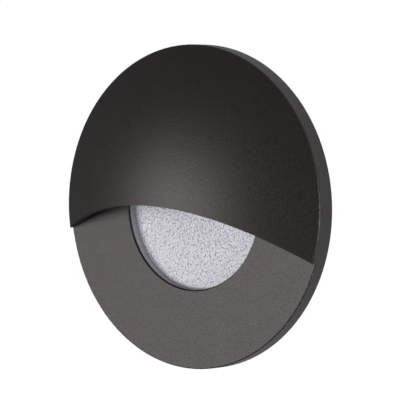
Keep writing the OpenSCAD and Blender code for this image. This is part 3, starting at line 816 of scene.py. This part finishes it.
# %% [markdown]
# ## Wall
#
# Nothing shows behind the rim in the photo, which is how the light looks when it is set into a white wall.
# The wall is a stage piece, not part of the light. Seen from the room it is white; from behind it lets
# everything through, so that the can and its clips can be looked at too. The side of the rim and the left
# of the hood mirror this wall, and in the photo it looks bright there at the right and dim at the left. So
# its brightness in a gloss runs from one to the other, while to the eye it stays white.

# %% Wall
FLOOR_HEIGHT = -0.8
WALL_SIZE = 6.0
WALL_SHARE = 1.0
WALL_LEFT_IN_GLOSS = 0.12
WALL_RIGHT_IN_GLOSS = 0.7
WALL_FADE = 0.06


def flat_sheet(name, corners, paint):
    """A painted stage piece with these corners, kept apart from the light."""
    mesh = bpy.data.meshes.new(name)
    mesh.from_pydata(corners, [], [(0, 1, 2, 3)])
    mesh.materials.append(paint)
    sheet = bpy.data.objects.new(name, mesh)
    bpy.context.scene.collection.objects.link(sheet)
    return sheet


def wall_paint():
    """White toward the room, and clear from behind."""
    material, surface = stage_material("wall_paint")
    across = add_node(material, "SeparateXYZ", {"Vector": own_coordinates(material)}).outputs["X"]
    in_gloss = levels(material, across, WALL_LEFT_IN_GLOSS, WALL_RIGHT_IN_GLOSS, -WALL_FADE, WALL_FADE)
    behind = add_node(material, "NewGeometry").outputs["Backfacing"]
    clear = add_node(material, "BsdfTransparent").outputs["BSDF"]
    both = mixed(material, behind, white_when_seen(material, WALL_SHARE, in_gloss), clear)
    material.node_tree.links.new(both, surface)
    return material


half_wall = WALL_SIZE / 2
wall_corners = [
    (-half_wall, 0, FLOOR_HEIGHT),
    (half_wall, 0, FLOOR_HEIGHT),
    (half_wall, 0, half_wall),
    (-half_wall, 0, half_wall),
]
wall = flat_sheet("wall", wall_corners, wall_paint())
print("wall faces the room:", wall.data.polygons[0].normal.y < 0)

# %% [markdown]
# ## Floor
#
# The floor is pale and keeps the shadow of the light. Left alone it would end in a grey line where it meets
# the white world, so it turns fully white far away. It lies well below the light, so that the light can
# also be looked at from underneath.

# %% Floor
FLOOR_SIZE = 8.0
NEAR_SHARE = 0.75
FAR_SHARE = 1.0
FLOOR_FADE = (1.0, 2.6)
FLOOR_IN_GLOSS = 0.3


def floor_paint():
    """Pale under the light, and pure white far off, so that no horizon shows."""
    material, surface = stage_material("floor_paint")
    place = own_coordinates(material)
    away = add_node(material, "VectorMath", {0: place}, operation="LENGTH").outputs["Value"]
    share = levels(material, away, NEAR_SHARE, FAR_SHARE, *FLOOR_FADE)
    material.node_tree.links.new(white_when_seen(material, share, FLOOR_IN_GLOSS), surface)
    return material


half_floor = FLOOR_SIZE / 2
floor_corners = [
    (-half_floor, -half_floor, FLOOR_HEIGHT),
    (half_floor, -half_floor, FLOOR_HEIGHT),
    (half_floor, half_floor, FLOOR_HEIGHT),
    (-half_floor, half_floor, FLOOR_HEIGHT),
]
floor = flat_sheet("floor", floor_corners, floor_paint())
print("floor faces up:", floor.data.polygons[0].normal.z > 0)

# %% [markdown]
# ## Room
#
# A real studio is never quite dark: walls and ceiling send a little light from all sides. A picture of a
# studio could be wrapped round the scene. An even grey world does as much here, because the coat is too
# rough to mirror more than tones. It is white where it is seen, like the stage.

# %% Light of the room
ROOM_STRENGTH = 0.14
ROOM_IN_GLOSS = 0.16


def room_light(strength, in_gloss):
    """An even dim light, white where it is seen, and of a given brightness in a gloss."""
    world = bpy.data.worlds.new("room")
    world.use_nodes = True
    background = world.node_tree.nodes["Background"]
    background.inputs["Color"].default_value = WHITE
    path = add_node(world, "LightPath").outputs
    seen = larger(world, path["Is Camera Ray"], path["Is Transmission Ray"])
    mirrored = scaled(world, path["Is Glossy Ray"], in_gloss)
    brightness = larger(world, larger(world, seen, mirrored), strength)
    world.node_tree.links.new(brightness, background.inputs["Strength"])
    bpy.context.scene.world = world


room_light(ROOM_STRENGTH, ROOM_IN_GLOSS)
print("world:", bpy.context.scene.world.name)

# %% [markdown]
# ## Lamps
#
# The photo has one large soft lamp at the left: its soft image lies on the flat face and on the middle of
# the hood, and both fall dark towards the top and the right. So the key lamp stands where the flat face
# would mirror it into the lens of the camera. A small lamp far out at the right draws the bright line along
# the shoulder of the hood and leaves the rest alone. Two lamps behind the wall show the can to whoever
# looks at it from there.

# %% Lamps
def direction(azimuth, elevation):
    """Unit vector from the light toward a place round it: azimuth 0 is in front, 90 at the right."""
    turn = math.radians(azimuth)
    rise = math.radians(elevation)
    return Vector((math.sin(turn) * math.cos(rise), -math.cos(turn) * math.cos(rise), math.sin(rise)))


def soft_lamp(name, azimuth, elevation, distance, size, watts):
    """A square lamp at a place round the light, turned toward it, and out of the camera's sight."""
    lamp = bpy.data.lights.new(name, "AREA")
    lamp.shape = "SQUARE"
    lamp.size = size
    lamp.energy = watts
    holder = bpy.data.objects.new(name, lamp)
    toward = direction(azimuth, elevation)
    holder.location = toward * distance
    holder.rotation_mode = "QUATERNION"
    holder.rotation_quaternion = toward.to_track_quat("Z", "Y")
    holder.visible_camera = False
    bpy.context.scene.collection.objects.link(holder)


soft_lamp("key_lamp", azimuth=-31.5, elevation=-7, distance=1.2, size=0.72, watts=7.2)
soft_lamp("side_lamp", azimuth=78, elevation=0, distance=1.2, size=0.28, watts=5.0)
soft_lamp("back_lamp_left", azimuth=-140, elevation=30, distance=1.4, size=0.8, watts=12)
soft_lamp("back_lamp_right", azimuth=140, elevation=35, distance=1.4, size=0.8, watts=8)
print("lamps in watts:", {lamp.name: round(lamp.energy, 1) for lamp in bpy.data.lights})

# %% [markdown]
# ## Camera
#
# The camera stands to the right of the light and a little above it, far enough away that the disc is hardly
# drawn out by perspective. It is rolled by nearly four degrees, and a slight shift of the film brings the
# disc to its place in the frame. Angle, roll and shift were fitted to the outline of the disc in the photo.

# %% Camera
CAMERA_AZIMUTH = 38.86
CAMERA_ELEVATION = 5.15
CAMERA_ROLL = 3.8
CAMERA_DISTANCE = 0.8125
LENS_LENGTH = 236.5
FILM_WIDTH = 36.0
FRAME_PIXELS = 400
CENTRE_PIXEL = (201.66, 206.58)
NEAR_LIMIT = 0.01
FAR_LIMIT = 20


def aim_camera():
    """A camera turned toward the light, rolled, and shifted to the place of the disc in the photo."""
    film = bpy.data.cameras.new("camera")
    film.lens = LENS_LENGTH
    film.sensor_width = FILM_WIDTH
    film.shift_x = (FRAME_PIXELS / 2 - CENTRE_PIXEL[0]) / FRAME_PIXELS
    film.shift_y = (CENTRE_PIXEL[1] - FRAME_PIXELS / 2) / FRAME_PIXELS
    film.clip_start = NEAR_LIMIT
    film.clip_end = FAR_LIMIT
    camera = bpy.data.objects.new("camera", film)
    turn = math.radians(CAMERA_AZIMUTH)
    back = direction(CAMERA_AZIMUTH, CAMERA_ELEVATION)
    right = Vector((math.cos(turn), math.sin(turn), 0))
    upright = Matrix((right, back.cross(right), back)).transposed()
    roll = Matrix.Rotation(math.radians(CAMERA_ROLL), 3, "Z")
    camera.matrix_world = Matrix.Translation(back * CAMERA_DISTANCE) @ (upright @ roll).to_4x4()
    bpy.context.scene.collection.objects.link(camera)
    bpy.context.scene.camera = camera
    return camera


camera = aim_camera()
bpy.context.scene.view_settings.view_transform = "Standard"
print("camera at:", [round(x, 3) for x in camera.matrix_world.translation])
